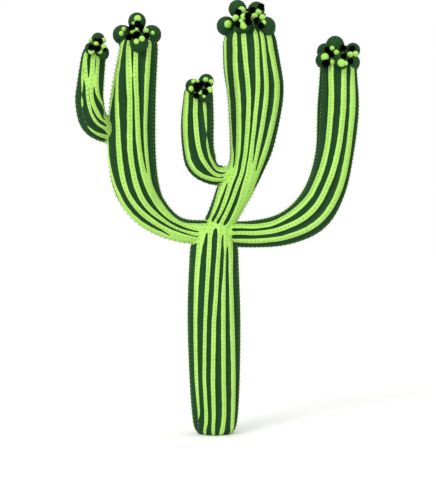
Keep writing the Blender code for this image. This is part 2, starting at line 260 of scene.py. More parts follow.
def limb_rings(stations, tip_height):
    """Middles, directions, radii, full radii, station numbers and lengths of a limb's rings.

    The full radii are those that the limb would have if its tip were not rounded off.
    """
    rows = np.array(stations)
    # A smooth curve through all the stations, carried one station further at each end
    held = np.vstack([2 * rows[0] - rows[1], rows, 2 * rows[-1] - rows[-2]])
    numbers = np.arange(0, len(rows) - 1, CURVE_STEP)
    starts = numbers.astype(int)
    share = (numbers - starts)[:, None]
    before, here, there, after = (held[starts + k] for k in range(4))
    fine = here + 0.5 * (
        (there - before) * share
        + (2 * before - 5 * here + 4 * there - after) * share**2
        + (3 * here - before - 3 * there + after) * share**3
    )
    fine = np.vstack([fine, rows[-1]])
    numbers = np.append(numbers, len(rows) - 1)
    steps = np.linalg.norm(np.diff(fine[:, :3], axis=0), axis=1)
    lengths = np.append(0, np.cumsum(steps))
    at = np.linspace(0, lengths[-1], round(lengths[-1] / RING_STEP) + 1)
    middles = np.column_stack([np.interp(at, lengths, fine[:, k]) for k in range(3)])
    radii = np.interp(at, lengths, fine[:, 3])
    numbers = np.interp(at, lengths, numbers)
    directions = unit(np.gradient(middles, axis=0))
    # The rounded tip is a quarter of an ellipse, turned round the last direction
    climb = np.linspace(0, math.radians(TIP_CLIMB), round(TIP_ARC * tip_height / RING_STEP))[1:]
    rise = (tip_height * np.sin(climb))[:, None]
    count = len(climb)
    return (
        np.vstack([middles, middles[-1] + rise * directions[-1]]),
        np.vstack([directions, np.tile(directions[-1], (count, 1))]),
        np.append(radii, radii[-1] * np.cos(climb)),
        np.append(radii, np.full(count, radii[-1])),
        np.append(numbers, np.full(count, numbers[-1])),
        np.append(at, at[-1] + tip_height * climb),
    )


def eased(courses, reach):
    """Courses along a limb with their corners rounded over some rings."""
    padded = np.pad(courses, ((reach, reach), (0, 0)), mode="edge")
    kernel = np.hanning(2 * reach + 3)[1:-1]
    kernel /= kernel.sum()
    return np.column_stack([np.convolve(column, kernel, mode="valid") for column in padded.T])


def rib_courses(ribs, back, numbers):
    """Degrees of the crests and of the lime on each, for each ring and rib.

    Before the first row of the ribs its own values hold, and past the last row those of that.
    """
    at = [row[0] for row in ribs]
    crests = [np.interp(numbers, at, course) for course in zip(*[row[1] for row in ribs])]
    limes = [np.interp(numbers, at, course) for course in zip(*[row[2] for row in ribs])]
    last = crests[-1]
    pitch = (crests[0] + 360 - last) / (len(back) + 1)
    for number, share in enumerate(back, 1):
        crests.append(last + number * pitch)
        limes.append(share * pitch)
    return eased(np.column_stack(crests), CREST_EASE), np.column_stack(limes)


def rib_corners(crests, limes, radii, full_radii):
    """Degrees, reach and lime value of every corner, as arrays of ring by rib by corner.

    The lime value is 1 on a crest, BAND_EDGE at the edge of its lime band and 0 in an open
    furrow. A rib whose band is only a line has a low value all over, so that it stays dark; on the
    ribs that turn away to the sides this is painted shade.
    """
    half_lime = limes / 2
    following = np.column_stack([crests[:, 1:], crests[:, :1] + 360])
    width = following - crests
    # The furrow lies halfway between the two lime bands, and closes up where they meet
    gap = width - half_lime - np.roll(half_lime, -1, axis=1)
    flank = LEAST_FLANK * width
    bottom = np.clip(crests + half_lime + gap / 2, crests + flank, following - flank)
    half_gap = np.maximum(gap / 2, LEAST_HALF_GAP)
    edge = np.maximum(bottom - half_gap, crests + LEAST_BAND * (bottom - crests))
    edge_after = np.minimum(bottom + half_gap, following - LEAST_BAND * (following - bottom))
    opening = np.radians(gap) * full_radii[:, None]
    openness = np.clip(opening / FURROW_OPENING, 0, 1)
    depth = FURROW_DEPTH * radii[:, None] * np.radians(width)
    depth = depth * (CLOSED_FURROW + (1 - CLOSED_FURROW) * openness)
    dark = np.clip(BAND_EDGE - opening / FURROW_OPENING, 0, 1)
    limit = np.maximum(dark, BAND_EDGE)
    share = (edge - crests) / (bottom - crests)
    share_after = (following - edge_after) / (following - bottom)
    angles = [crests, edge, (edge + bottom) / 2, bottom, (edge_after + bottom) / 2, edge_after]
    sinks = [
        np.zeros_like(depth),
        depth * share**FLANK_CURVE,
        depth * ((share + 1) / 2) ** FLANK_CURVE,
        depth,
        depth * ((share_after + 1) / 2) ** FLANK_CURVE,
        depth * share_after**FLANK_CURVE,
    ]
    values = [np.ones_like(depth), limit, (limit + dark) / 2, dark, (limit + dark) / 2, limit]
    # Ribs whose band is only a line keep a low value on their crests: painted shade on the side
    # ribs
    lit = np.clip((limes - PAINTED_SHADE_WIDTH) / (FULL_WIDTH - PAINTED_SHADE_WIDTH), 0, 1)
    lit = PAINTED_SHADE_LEVEL + (1 - PAINTED_SHADE_LEVEL) * lit
    lit_after = np.roll(lit, -1, axis=1)
    # The first four corners belong to the rib itself, and the last two to the one that follows
    values = [value * lit for value in values[:4]] + [value * lit_after for value in values[4:]]
    # The crown under the buds is dark all over: painted shade beneath the bud cluster
    bud_shade = np.clip((radii / full_radii - BUD_SHADE_START) / (BUD_SHADE_END - BUD_SHADE_START), PAINTED_SHADE_LEVEL, 1)
    # Each spine cushion sits on a low swelling of its crest, by turns on neighbouring ribs
    beat = np.arange(len(radii))[:, None] + np.arange(crests.shape[1])
    sinks[0] = sinks[0] - CREST_SWELL * np.cos(math.pi * beat)
    reaches = radii[:, None, None] - np.stack(sinks, axis=2)
    return np.stack(angles, axis=2), reaches, np.stack(values, axis=2) * bud_shade[:, None, None]


def extrude_rings(name, middles, radius, corners):
    """A circle extruded from ring to ring and closed at both ends."""
    bpy.ops.object.select_all(action="DESELECT")
    bpy.ops.mesh.primitive_circle_add(vertices=corners, radius=radius, location=middles[0])
    limb = bpy.context.object
    limb.name = name
    bpy.ops.object.transform_apply()
    bpy.ops.object.mode_set(mode="EDIT")
    bpy.ops.mesh.select_all(action="SELECT")
    for lower, upper in zip(middles, middles[1:]):
        bpy.ops.mesh.extrude_edges_move(TRANSFORM_OT_translate={"value": upper - lower})
    # The foot and the tip are closed, each with a fan round a point of its own
    bpy.ops.mesh.select_all(action="DESELECT")
    bpy.ops.mesh.select_non_manifold()
    bpy.ops.mesh.fill_holes(sides=0)
    bpy.ops.mesh.select_all(action="DESELECT")
    bpy.ops.mesh.select_face_by_sides(number=4, type="GREATER")
    bpy.ops.mesh.poke()
    bpy.ops.object.mode_set(mode="OBJECT")
    return limb


def point_value(nodes, name):
    """A value that the mesh holds at its points. Returns its socket."""
    attribute = nodes.new("ShaderNodeAttribute")
    attribute.attribute_name = name
    return attribute.outputs["Fac"]


def add_share(nodes, links, value, share, base):
    """The base value plus a share of another value. Returns the socket of the sum."""
    total = nodes.new("ShaderNodeMath")
    total.operation = "MULTIPLY_ADD"
    total.inputs[1].default_value = share
    links.new(value, total.inputs[0])
    links.new(base, total.inputs[2])
    return total.outputs[0]


def bump(nodes, links, height, strength, distance, beneath=None):
    """Fine relief, over another relief if one is given. Returns the socket of its normal."""
    relief = nodes.new("ShaderNodeBump")
    relief.inputs["Strength"].default_value = strength
    relief.inputs["Distance"].default_value = distance
    links.new(height, relief.inputs["Height"])
    if beneath is not None:
        links.new(beneath, relief.inputs["Normal"])
    return relief.outputs["Normal"]


def skin_finish(name):
    """Waxy skin: lime on the crests, dark green with painted shade in the furrows, with fine
    wrinkles and pores.
    """
    material, shader, nodes, links, place = new_material(name, roughness=0.55, specular=0.09)
    # The edge of a lime band wanders by two or three millimetres. The noise is 0.5 on average,
    # so it lifts the value at the edge by half the wander
    wander = noise(nodes, links, place, scale=14, detail=4)
    lime = add_share(nodes, links, wander, EDGE_WANDER, point_value(nodes, "lime"))
    lifted_edge = BAND_EDGE + EDGE_WANDER / 2
    band = spread(
        nodes, links, lime, lifted_edge - EDGE_BLUR, lifted_edge + EDGE_BLUR, smooth=True
    )
    mottle = noise(nodes, links, place, scale=3.5, detail=6)
    tone = spread(nodes, links, mottle, low=0.35, high=0.65)
    crest = blend_colours(nodes, links, tone, LIME, PALE_LIME)
    # The furrows' dark green is partly the skin's own colour and partly painted shade
    furrow = blend_colours(nodes, links, tone, FURROW_GREEN_AND_SHADE, BLUE_GREEN_AND_SHADE)
    skin = blend_colours(nodes, links, band, furrow, crest)
    links.new(skin, shader.inputs["Base Color"])
    # Wrinkles run across the ribs, so they change fast along the limb and slowly round it
    round_limb = nodes.new("ShaderNodeVectorMath")
    round_limb.operation = "SCALE"
    round_limb.inputs["Scale"].default_value = WRINKLES_ROUND
    links.new(place, round_limb.inputs[0])
    stretched = nodes.new("ShaderNodeVectorMath")
    stretched.operation = "MULTIPLY_ADD"
    stretched.inputs[1].default_value = (WRINKLES_ALONG,) * 3
    links.new(point_value(nodes, "along"), stretched.inputs[0])
    links.new(round_limb.outputs[0], stretched.inputs[2])
    wrinkles = noise(nodes, links, stretched.outputs[0], scale=1.0, detail=3)
    pores = noise(nodes, links, place, scale=260, detail=2)
    folds = bump(nodes, links, wrinkles, strength=0.35, distance=0.004)
    relief = bump(nodes, links, pores, strength=0.25, distance=0.001, beneath=folds)
    links.new(relief, shader.inputs["Normal"])
    # The wax is worn duller on the wrinkles than between them
    gloss = nodes.new("ShaderNodeMapRange")
    gloss.inputs["To Min"].default_value = WAX_ROUGHNESS
    gloss.inputs["To Max"].default_value = WORN_ROUGHNESS
    links.new(wrinkles, gloss.inputs["Value"])
    links.new(gloss.outputs["Result"], shader.inputs["Roughness"])
    return material


def mesh_points(item):
    """The places of all the points of an object's mesh."""
    points = np.empty((len(item.data.vertices), 3))
    item.data.vertices.foreach_get("co", points.ravel())
    return points


def model_limb(name, stations, ribs, back, tip_height):
    """The ribbed skin of one limb, and the rings, lime bands, crests and tip it is built on."""
    middles, directions, radii, full_radii, numbers, lengths = limb_rings(stations, tip_height)
    crests, limes = rib_courses(ribs, back, numbers)
    angles, reaches, values = rib_corners(crests, limes, radii, full_radii)
    rings, rib_count = crests.shape
    corners = rib_count * CORNERS_PER_RIB
    limb = extrude_rings(name, middles, radii[0], corners)
    # Angles are measured from the side that faces the viewer
    front = unit(np.array([0.0, -1.0, 0.0]) + directions * directions[:, 1:2])
    side = np.cross(directions, front)
    turn = np.radians(angles.reshape(rings, corners, 1))
    outward = np.cos(turn) * front[:, None] + np.sin(turn) * side[:, None]
    points = middles[:, None] + reaches.reshape(rings, corners, 1) * outward
    # The two end points, which close the foot and the tip, stay on the limb's middle line and
    # hold a middling value
    places = mesh_points(limb)
    places[: rings * corners] = points.reshape(-1, 3)
    limb.data.vertices.foreach_set("co", places.ravel())
    ends = [BAND_EDGE, BAND_EDGE]
    for attribute_name, data in (("lime", values), ("along", np.repeat(lengths, corners))):
        attribute = limb.data.attributes.new(attribute_name, "FLOAT", "POINT")
        attribute.data.foreach_set("value", np.append(data.ravel(), ends))
    bpy.ops.object.mode_set(mode="EDIT")
    bpy.ops.mesh.select_all(action="SELECT")
    bpy.ops.mesh.normals_make_consistent(inside=False)
    bpy.ops.object.mode_set(mode="OBJECT")
    bpy.ops.object.modifier_add(type="SUBSURF")
    bpy.ops.object.modifier_apply(modifier=limb.modifiers[-1].name)
    bpy.ops.object.shade_smooth()
    limb.data.materials.append(skin_finish(f"{name}_wax"))
    grown = {
        "middles": middles,
        "radii": radii,
        "limes": limes,
        "crests": points.reshape(rings, rib_count, CORNERS_PER_RIB, 3)[:, :, 0],
        "tip": Vector(stations[-1][:3]),
    }
    return limb, grown


column, column_form = model_limb(
    "column_skin", COLUMN_STATIONS, COLUMN_RIBS, COLUMN_BACK, COLUMN_TIP_HEIGHT
)
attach(column, "root")
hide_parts("trunk", "upper_stem")


# Left arm
# A branch as thick as the trunk's upper part, of the same pleated, waxy flesh. It grows from a
# narrow root at the trunk's shoulder and bends up in a wide curve.
LEFT_ARM_STATIONS = (
    (-0.010, -0.04, 2.005, 0.125),
    (-0.369, -0.05, 2.041, 0.124),
    (-0.635, -0.08, 2.214, 0.182),
    (-0.777, -0.13, 2.460, 0.228),
    (-0.824, -0.17, 2.824, 0.241),
    (-0.810, -0.20, 3.315, 0.229),
    (-0.752, -0.22, 3.805, 0.193),
)
LEFT_ARM_RIBS = (
    (0.33, (-64, -37, -12, 15, 36, 64, 88), (48, 40, 44, 40, 40, 2, 8)),
    (0.4, (-66, -37, -12, 15, 36, 66, 89), (48, 22, 22, 24, 24, 2, 8)),
    (0.5, (-66, -34, -11, 17, 38, 66, 89), (50, 22, 21, 23, 24, 2, 8)),
    (0.75, (-64, -29, -2, 23, 37, 64, 89), (50, 29, 15, 14, 17, 2, 8)),
    (1.0, (-64, -28, 3, 29, 39, 64, 89), (48, 36, 12, 11, 13, 2, 8)),
    (1.5, (-66, -21, 7, 30, 45, 68, 89), (44, 23, 15, 16, 18, 2, 8)),
    (2.0, (-71, -21, 5, 33, 49, 70, 89), (42, 21, 19, 18, 18, 2, 8)),
    (2.5, (-73, -23, 4, 34, 46, 69, 89), (42, 18, 17, 16, 15, 2, 8)),
    (3.0, (-66, -26, 4, 31, 41, 67, 89), (28, 15, 16, 15, 13, 2, 8)),
    (3.5, (-70, -27, 3, 28, 43, 67, 89), (18, 16, 14, 16, 11, 2, 8)),
    (4.0, (-82, -28, 0, 23, 41, 66, 89), (18, 15, 15, 14, 11, 2, 8)),
    (4.5, (-84, -31, 0, 19, 39, 65, 89), (20, 13, 15, 14, 11, 2, 8)),
    (5.0, (-68, -43, -3, 14, 40, 66, 89), (16, 15, 14, 13, 13, 2, 8)),
    (5.5, (-75, -56, -14, 4, 39, 67, 89), (28, 16, 21, 15, 18, 2, 8)),
    (6.0, (-80, -63, -30, -5, 37, 66, 89), (20, 20, 21, 14, 17, 2, 8)),
)
LEFT_ARM_BACK = (0.42, 0.42, 0.46, 0.42, 0.46, 0.42)
LEFT_ARM_TIP_HEIGHT = 0.22

left_arm, left_arm_form = model_limb(
    "left_arm_skin", LEFT_ARM_STATIONS, LEFT_ARM_RIBS, LEFT_ARM_BACK, LEFT_ARM_TIP_HEIGHT
)
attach(left_arm, "root")
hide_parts("left_arm_elbow", "left_arm")


# Right arm
# The longest branch, of the same flesh, grown from the trunk's shoulder like the left one but
# reaching further out before it turns up. On its level part positive angles point down.
RIGHT_ARM_STATIONS = (
    (-0.010, 0.00, 2.000, 0.125),
    (0.370, 0.02, 1.995, 0.136),
    (0.698, 0.06, 2.047, 0.165),
    (0.963, 0.10, 2.201, 0.205),
    (1.121, 0.14, 2.460, 0.202),
    (1.209, 0.17, 2.816, 0.195),
    (1.246, 0.19, 3.253, 0.213),
    (1.251, 0.20, 3.639, 0.190),
)
RIGHT_ARM_RIBS = (
    (0.42, (-88, -66, -41, -5, 34, 64, 88), (24, 30, 40, 44, 44, 34, 24)),
    (0.47, (-88, -66, -40, -4, 34, 64, 88), (24, 28, 26, 17, 24, 24, 20)),
    (0.53, (-88, -68, -42, -5, 33, 64, 88), (20, 22, 28, 17, 22, 22, 20)),
    (0.6, (-89, -72, -48, -7, 32, 64, 89), (8, 2, 36, 19, 22, 2, 8)),
    (0.8, (-89, -70, -44, -7, 33, 64, 89), (8, 2, 33, 21, 25, 2, 8)),
    (1.0, (-89, -66, -37, -3, 36, 66, 89), (8, 2, 29, 22, 29, 2, 8)),
    (1.5, (-89, -66, -35, -3, 34, 66, 89), (8, 2, 26, 22, 24, 2, 8)),
    (2.0, (-89, -69, -44, -6, 33, 65, 89), (8, 2, 26, 21, 23, 2, 8)),
    (2.5, (-89, -70, -46, -5, 34, 66, 89), (8, 2, 27, 19, 22, 2, 8)),
    (3.0, (-89, -68, -43, -5, 34, 65, 89), (8, 2, 23, 18, 21, 2, 8)),
    (3.5, (-89, -66, -39, -4, 37, 66, 89), (8, 2, 21, 17, 23, 2, 8)),
    (4.0, (-89, -66, -39, -3, 41, 68, 89), (8, 2, 23, 18, 27, 2, 8)),
    (4.5, (-89, -64, -35, 2, 44, 71, 89), (8, 2, 22, 19, 31, 2, 8)),
    (5.0, (-89, -62, -31, 6, 45, 71, 89), (8, 2, 20, 19, 30, 2, 8)),
    (5.5, (-89, -60, -27, 9, 42, 69, 89), (8, 2, 18, 18, 25, 2, 8)),
    (6.0, (-89, -58, -25, 11, 44, 70, 89), (8, 2, 18, 19, 28, 2, 8)),
    (6.5, (-89, -58, -26, 12, 46, 72, 89), (8, 2, 18, 19, 29, 2, 8)),
    (7.0, (-89, -60, -30, 14, 50, 73, 89), (8, 2, 20, 17, 24, 2, 8)),
)
RIGHT_ARM_BACK = (0.42, 0.42, 0.46, 0.42, 0.46, 0.42)
RIGHT_ARM_TIP_HEIGHT = 0.235

right_arm, right_arm_form = model_limb(
    "right_arm_skin", RIGHT_ARM_STATIONS, RIGHT_ARM_RIBS, RIGHT_ARM_BACK, RIGHT_ARM_TIP_HEIGHT
)
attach(right_arm, "root")
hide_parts("right_arm_elbow", "right_arm")


# Small left arm
# A young branch of the same flesh, with fewer and narrower ribs. It grows from the left arm's
# outer side, reaches outwards and forwards, and turns straight up.
SMALL_LEFT_STATIONS = (
    (-0.857, -0.06, 2.920, 0.130),
    (-1.021, -0.12, 3.006, 0.132),
    (-1.183, -0.25, 3.092, 0.139),
    (-1.226, -0.31, 3.283, 0.141),
    (-1.217, -0.33, 3.439, 0.133),
    (-1.190, -0.34, 3.672, 0.123),
)
SMALL_LEFT_RIBS = (
    (0.0, (-89, -62, -36, -5, 33, 66, 89), (24, 30, 34, 36, 40, 30, 24)),
    (1.2, (-89, -62, -36, -5, 33, 66, 89), (24, 30, 34, 36, 40, 36, 30)),
    (1.35, (-89, -62, -36, -4, 33, 66, 89), (8, 2, 26, 40, 40, 40, 30)),
    (1.5, (-89, -62, -37, -3, 30, 65, 89), (8, 2, 28, 38, 40, 42, 28)),
    (1.6, (-89, -62, -36, 1, 31, 66, 89), (8, 2, 24, 30, 38, 44, 26)),
    (1.7, (-89, -62, -34, 5, 33, 68, 89), (8, 2, 20, 18, 34, 46, 22)),
    (1.85, (-89, -61, -32, 9, 36, 69, 90), (8, 2, 14, 12, 22, 46, 18)),
    (2.0, (-89, -60, -29, 12, 39, 70, 90), (8, 2, 10, 12, 12, 46, 12)),
    (2.2, (-89, -58, -29, 13, 40, 74, 91), (8, 2, 2, 14, 17, 34, 8)),
    (2.4, (-89, -57, -29, 9, 38, 80, 96), (8, 2, 2, 13, 26, 8, 8)),
    (2.6, (-89, -57, -29, 5, 29, 80, 96), (8, 2, 2, 11, 22, 8, 8)),
    (2.8, (-89, -57, -28, 3, 22, 76, 95), (8, 2, 2, 14, 21, 18, 6)),
    (3.0, (-89, -57, -27, 1, 18, 68, 92), (8, 2, 9, 14, 21, 26, 6)),
    (3.2, (-89, -57, -24, 0, 17, 58, 90), (8, 2, 8, 13, 19, 23, 8)),
    (3.4, (-89, -57, -26, -1, 16, 51, 89), (8, 2, 2, 14, 20, 24, 8)),
    (3.8, (-89, -58, -28, -5, 12, 38, 89), (8, 2, 6, 14, 20, 26, 8)),
    (4.0, (-89, -59, -31, -10, 9, 34, 89), (8, 2, 9, 14, 26, 26, 8)),
    (4.25, (-89, -61, -36, -16, 8, 33, 89), (8, 2, 16, 24, 30, 22, 8)),
    (4.5, (-89, -63, -40, -22, 8, 31, 89), (8, 2, 14, 20, 26, 20, 8)),
    (5.0, (-89, -67, -44, -32, 5, 28, 89), (8, 2, 13, 14, 26, 20, 8)),
)
SMALL_LEFT_BACK = (0.42, 0.46, 0.42, 0.46, 0.42)
SMALL_LEFT_TIP_HEIGHT = 0.20

small_left_arm, small_left_form = model_limb(
    "small_left_arm_skin",
    SMALL_LEFT_STATIONS,
    SMALL_LEFT_RIBS,
    SMALL_LEFT_BACK,
    SMALL_LEFT_TIP_HEIGHT,
)
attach(small_left_arm, "root")
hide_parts("small_left_arm_elbow", "small_left_arm")


# Small centre arm
# A young branch of the same flesh, and the thinnest at its root. It grows from the left side of
# the upper stem, runs out level and turns straight up.
SMALL_CENTRE_STATIONS = (
    (0.250, 0.00, 2.565, 0.095),
    (0.090, -0.04, 2.576, 0.097),
    (-0.035, -0.08, 2.598, 0.113),
    (-0.133, -0.12, 2.699, 0.155),
    (-0.168, -0.15, 2.855, 0.158),
    (-0.173, -0.17, 3.101, 0.163),
    (-0.164, -0.18, 3.337, 0.148),
)
SMALL_CENTRE_RIBS = (
    (1.05, (-90, -60, -26, 8, 42, 66, 89), (30, 34, 46, 36, 36, 24, 20)),
    (1.25, (-91, -66, -31, -5, 34, 63, 89), (10, 30, 30, 14, 42, 4, 8)),
    (1.5, (-92, -67, -32, -8, 37, 66, 89), (8, 2, 30, 22, 44, 2, 8)),
    (2.0, (-92, -67, -30, 5, 46, 73, 90), (8, 2, 32, 23, 38, 2, 8)),
    (2.5, (-93, -72, -40, 10, 43, 70, 90), (8, 2, 32, 20, 25, 2, 8)),
    (3.0, (-94, -73, -44, 12, 41, 67, 89), (8, 2, 29, 18, 16, 2, 8)),
    (3.5, (-96, -76, -49, 9, 42, 66, 89), (8, 2, 31, 19, 12, 2, 8)),
    (4.0, (-98, -79, -54, 3, 39, 64, 89), (8, 2, 35, 18, 10, 2, 8)),
    (4.5, (-99, -81, -56, -2, 35, 62, 89), (8, 2, 37, 18, 2, 2, 8)),
    (5.0, (-100, -82, -58, -6, 32, 61, 89), (8, 2, 39, 18, 9, 2, 8)),
    (5.5, (-101, -83, -60, -9, 29, 60, 89), (8, 2, 40, 20, 15, 2, 8)),
    (6.0, (-101, -83, -62, -10, 23, 58, 89), (8, 2, 38, 18, 9, 2, 8)),
)
SMALL_CENTRE_BACK = (0.42, 0.46, 0.42, 0.46, 0.42)
SMALL_CENTRE_TIP_HEIGHT = 0.18

small_centre_arm, small_centre_form = model_limb(
    "small_centre_arm_skin",
    SMALL_CENTRE_STATIONS,
    SMALL_CENTRE_RIBS,
    SMALL_CENTRE_BACK,
    SMALL_CENTRE_TIP_HEIGHT,
)
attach(small_centre_arm, "root")
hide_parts("small_centre_arm_elbow", "small_centre_arm")


# Flower buds
# Globes of fleshy green scales, overlapping like roof tiles, crowded on every growing tip.
# Each sits half sunk in the tip, with its point turned away from the tip's middle.
BUD_SEGMENTS = 48
BUD_RINGS = 32
BUD_SCALES = 9
BUD_SCALE_ROWS = 7
BUD_RELIEF = 0.05
BUD_TURN = 2.4
# Scales: the length of a point and its shape, how fast the surface falls back from the free
# edge, the height that stays where the ball was, and how much finer the pits are than the mottle
SCALE_POINT = 0.65
SCALE_POINT_CURVE = 1.5
SCALE_FALL = 1.5
SCALE_MIDDLE = 0.6
PITS_PER_MOTTLE = 6
BUD_GREEN = (0.0115, 0.0520, 0.0130)
BUD_EDGE_GREEN = (0.0260, 0.0800, 0.0240)

# Middles and radii of the buds, measured from the last station of each limb
STEM_BUDS = (
    (-0.130, -0.030, 0.408, 0.091),
    (0.058, -0.020, 0.399, 0.085),
    (-0.243, -0.020, 0.238, 0.097),
    (0.151, -0.160, 0.213, 0.097),
    (-0.077, -0.220, 0.214, 0.088),
    (-0.170, 0.155, 0.211, 0.090),
    (0.010, 0.235, 0.200, 0.092),
    (0.165, 0.120, 0.225, 0.086),
)
LEFT_ARM_BUDS = (
    (-0.015, 0.000, 0.281, 0.088),
    (-0.155, -0.020, 0.146, 0.098),
    (0.131, -0.030, 0.147, 0.094),
    (0.017, -0.200, 0.039, 0.092),
    (-0.117, 0.175, 0.080, 0.088),
    (0.068, 0.150, 0.120, 0.086),
)
RIGHT_ARM_BUDS = (
    (-0.038, -0.050, 0.265, 0.094),
    (-0.128, 0.085, 0.219, 0.085),
    (-0.153, -0.080, 0.107, 0.085),
    (0.152, 0.060, 0.229, 0.076),
    (0.126, -0.060, 0.087, 0.087),
    (0.019, -0.190, 0.078, 0.073),
    (0.010, 0.185, 0.110, 0.080),
)
SMALL_LEFT_BUDS = (
    (0.047, 0.030, 0.225, 0.066),
    (-0.007, -0.140, 0.111, 0.061),
    (0.080, -0.045, 0.082, 0.082),
    (-0.020, 0.120, 0.110, 0.062),
)
SMALL_CENTRE_BUDS = (
    (0.077, 0.020, 0.165, 0.076),
    (-0.052, -0.100, 0.104, 0.074),
    (0.070, -0.145, 0.015, 0.072),
    (-0.052, 0.100, 0.100, 0.070),
    (0.060, 0.150, 0.010, 0.072),
)


def unit_ball(name, segments, rings):
    """A ball of unit radius with its points, their angles from its top and those round it."""
    bpy.ops.object.select_all(action="DESELECT")
    bpy.ops.mesh.primitive_uv_sphere_add(segments=segments, ring_count=rings, radius=1)
    ball = bpy.context.object
    ball.name = name
    points = mesh_points(ball)
    down = np.arccos(np.clip(points[:, 2] / np.linalg.norm(points, axis=1), -1, 1))
    return ball, points, down, np.arctan2(points[:, 1], points[:, 0])


def scale_height(down, around, scales, rows):
    """How far each point of a scaly ball stands up: 1 at the free edge of a scale."""
    row_place = down * rows / math.pi
    row = np.floor(row_place)
    best = np.zeros_like(down)
    # A point lies on a scale of its own row or, between two of those, of the row above
    for above in (1, 0):
        turn = around * scales / math.tau + 0.5 * ((row - above) % 2)
        across = np.abs(turn % 1 - 0.5)
        point = SCALE_POINT * (2 * across) ** SCALE_POINT_CURVE
        below_edge = row_place - row + above - point
        best = np.where(below_edge > 0, np.exp(-SCALE_FALL * below_edge), best)
    return best


def scaly_ball(name, segments, rings, scales, rows, relief):
    """A ball of unit radius covered with low overlapping scales."""
    ball, points, down, around = unit_ball(name, segments, rings)
    height = scale_height(down, around, scales, rows)
    points *= (1 + relief * (height - SCALE_MIDDLE))[:, None]
    ball.data.vertices.foreach_set("co", points.ravel())
    attribute = ball.data.attributes.new("scale_edge", "FLOAT", "POINT")
    attribute.data.foreach_set("value", height)
    bpy.ops.object.shade_smooth()
    return ball


def placed_copy(pattern, name, placed):
    """A copy of a pattern with its own mesh, moved and turned by a matrix."""
    item = pattern.copy()
    item.data = pattern.data.copy()
    item.name = name
    bpy.context.scene.collection.objects.link(item)
    item.data.transform(placed)
    return item


def copy_onto(pattern, name, middle, outward, size, turn):
    """A copy of a pattern with its top turned outward."""
    placed = Matrix.Translation(middle) @ outward.to_track_quat("Z", "Y").to_matrix().to_4x4()
    placed = placed @ Matrix.Rotation(turn, 4, "Z") @ Matrix.Scale(size, 4)
    return placed_copy(pattern, name, placed)


def scale_finish(name, colour, edge_colour, roughness, mottle_scale):
    """Fleshy scales, a little paler along their free edges, with fine pits."""
    material, shader, nodes, links, place = new_material(name, roughness, specular=0.09)
    mottle = noise(nodes, links, place, mottle_scale, detail=4)
    mottled = add_share(nodes, links, mottle, share=0.5, base=point_value(nodes, "scale_edge"))
    paleness = spread(nodes, links, mottled, low=0.85, high=1.35)
    flesh = blend_colours(nodes, links, paleness, colour, edge_colour)
    links.new(flesh, shader.inputs["Base Color"])
    pits = noise(nodes, links, place, mottle_scale * PITS_PER_MOTTLE, detail=2)
    links.new(bump(nodes, links, pits, strength=0.3, distance=0.001), shader.inputs["Normal"])
    return material


bud_pattern = scaly_ball(
    "bud_pattern", BUD_SEGMENTS, BUD_RINGS, BUD_SCALES, BUD_SCALE_ROWS, BUD_RELIEF
)
bud_flesh = scale_finish("bud_flesh", BUD_GREEN, BUD_EDGE_GREEN, roughness=0.55, mottle_scale=40)
bud_pattern.data.materials.append(bud_flesh)
for limb_name, grown, limb_buds in (
    ("upper_stem", column_form, STEM_BUDS),
    ("left_arm", left_arm_form, LEFT_ARM_BUDS),
    ("right_arm", right_arm_form, RIGHT_ARM_BUDS),
    ("small_left_arm", small_left_form, SMALL_LEFT_BUDS),
    ("small_centre_arm", small_centre_form, SMALL_CENTRE_BUDS),
):
    for number, (x, y, z, radius) in enumerate(limb_buds, 1):
        away = Vector((x, y, z))
        bud = copy_onto(
            bud_pattern,
            f"{limb_name}_flower_bud_{number}",
            grown["tip"] + away,
            away.normalized(),
            radius,
            BUD_TURN * number,
        )
        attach(bud, "root")
        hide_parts(f"{limb_name}_bud_{number}")
bpy.data.objects.remove(bud_pattern)
bpy.context.view_layer.update()


# Young buds
# Small lime green domes of tender scales which push out between the older buds. Each is
# rooted on the foremost bud or skin at its place, and the cluster is repeated at the back.
YOUNG_SEGMENTS = 20
YOUNG_RINGS = 14
YOUNG_SCALES = 6
YOUNG_SCALE_ROWS = 5
YOUNG_RELIEF = 0.08
YOUNG_TURN = 1.0
# Seats: places looked at round a piece and how far out they lie, as a share of its size, and
# how far it leans away from the viewer with the surface that it grows on
RING_LOOKS = 8
LOOK_REACH = 0.7
SURFACE_LEAN = 0.7
# Stalks: how much the foot narrows and how deep it is rooted, as shares of the size
STALK_TAPER = 0.35
STALK_ROOT = 0.3
YOUNG_LIME = (0.375, 0.690, 0.120)
YOUNG_EDGE = (0.440, 0.740, 0.170)

# Places on each tip, seen from the front: (x, z, radius) from the limb's last station
STEM_YOUNG = (
    (-0.225, 0.261, 0.039),
    (-0.086, 0.399, 0.040),
    (-0.149, 0.323, 0.033),
    (-0.065, 0.335, 0.035),
    (-0.045, 0.366, 0.026),
    (-0.091, 0.290, 0.025),
    (-0.069, 0.248, 0.037),
    (0.081, 0.381, 0.033),
    (0.043, 0.340, 0.033),
    (0.121, 0.329, 0.031),
    (0.135, 0.277, 0.025),
)
LEFT_ARM_YOUNG = (
    (-0.145, 0.206, 0.023),
    (-0.169, 0.163, 0.025),
    (-0.009, 0.308, 0.035),
    (-0.049, 0.263, 0.018),
    (-0.057, 0.181, 0.025),
    (-0.021, 0.197, 0.024),
    (0.072, 0.190, 0.029),
    (0.139, 0.169, 0.020),
    (-0.021, 0.085, 0.027),
    (0.033, 0.112, 0.029),
)
RIGHT_ARM_YOUNG = (
    (-0.063, 0.241, 0.025),
    (-0.020, 0.197, 0.030),
    (-0.137, 0.150, 0.040),
    (-0.061, 0.099, 0.027),
    (0.031, 0.093, 0.040),
    (0.072, 0.089, 0.024),
    (0.119, 0.176, 0.031),
    (0.172, 0.184, 0.030),
)
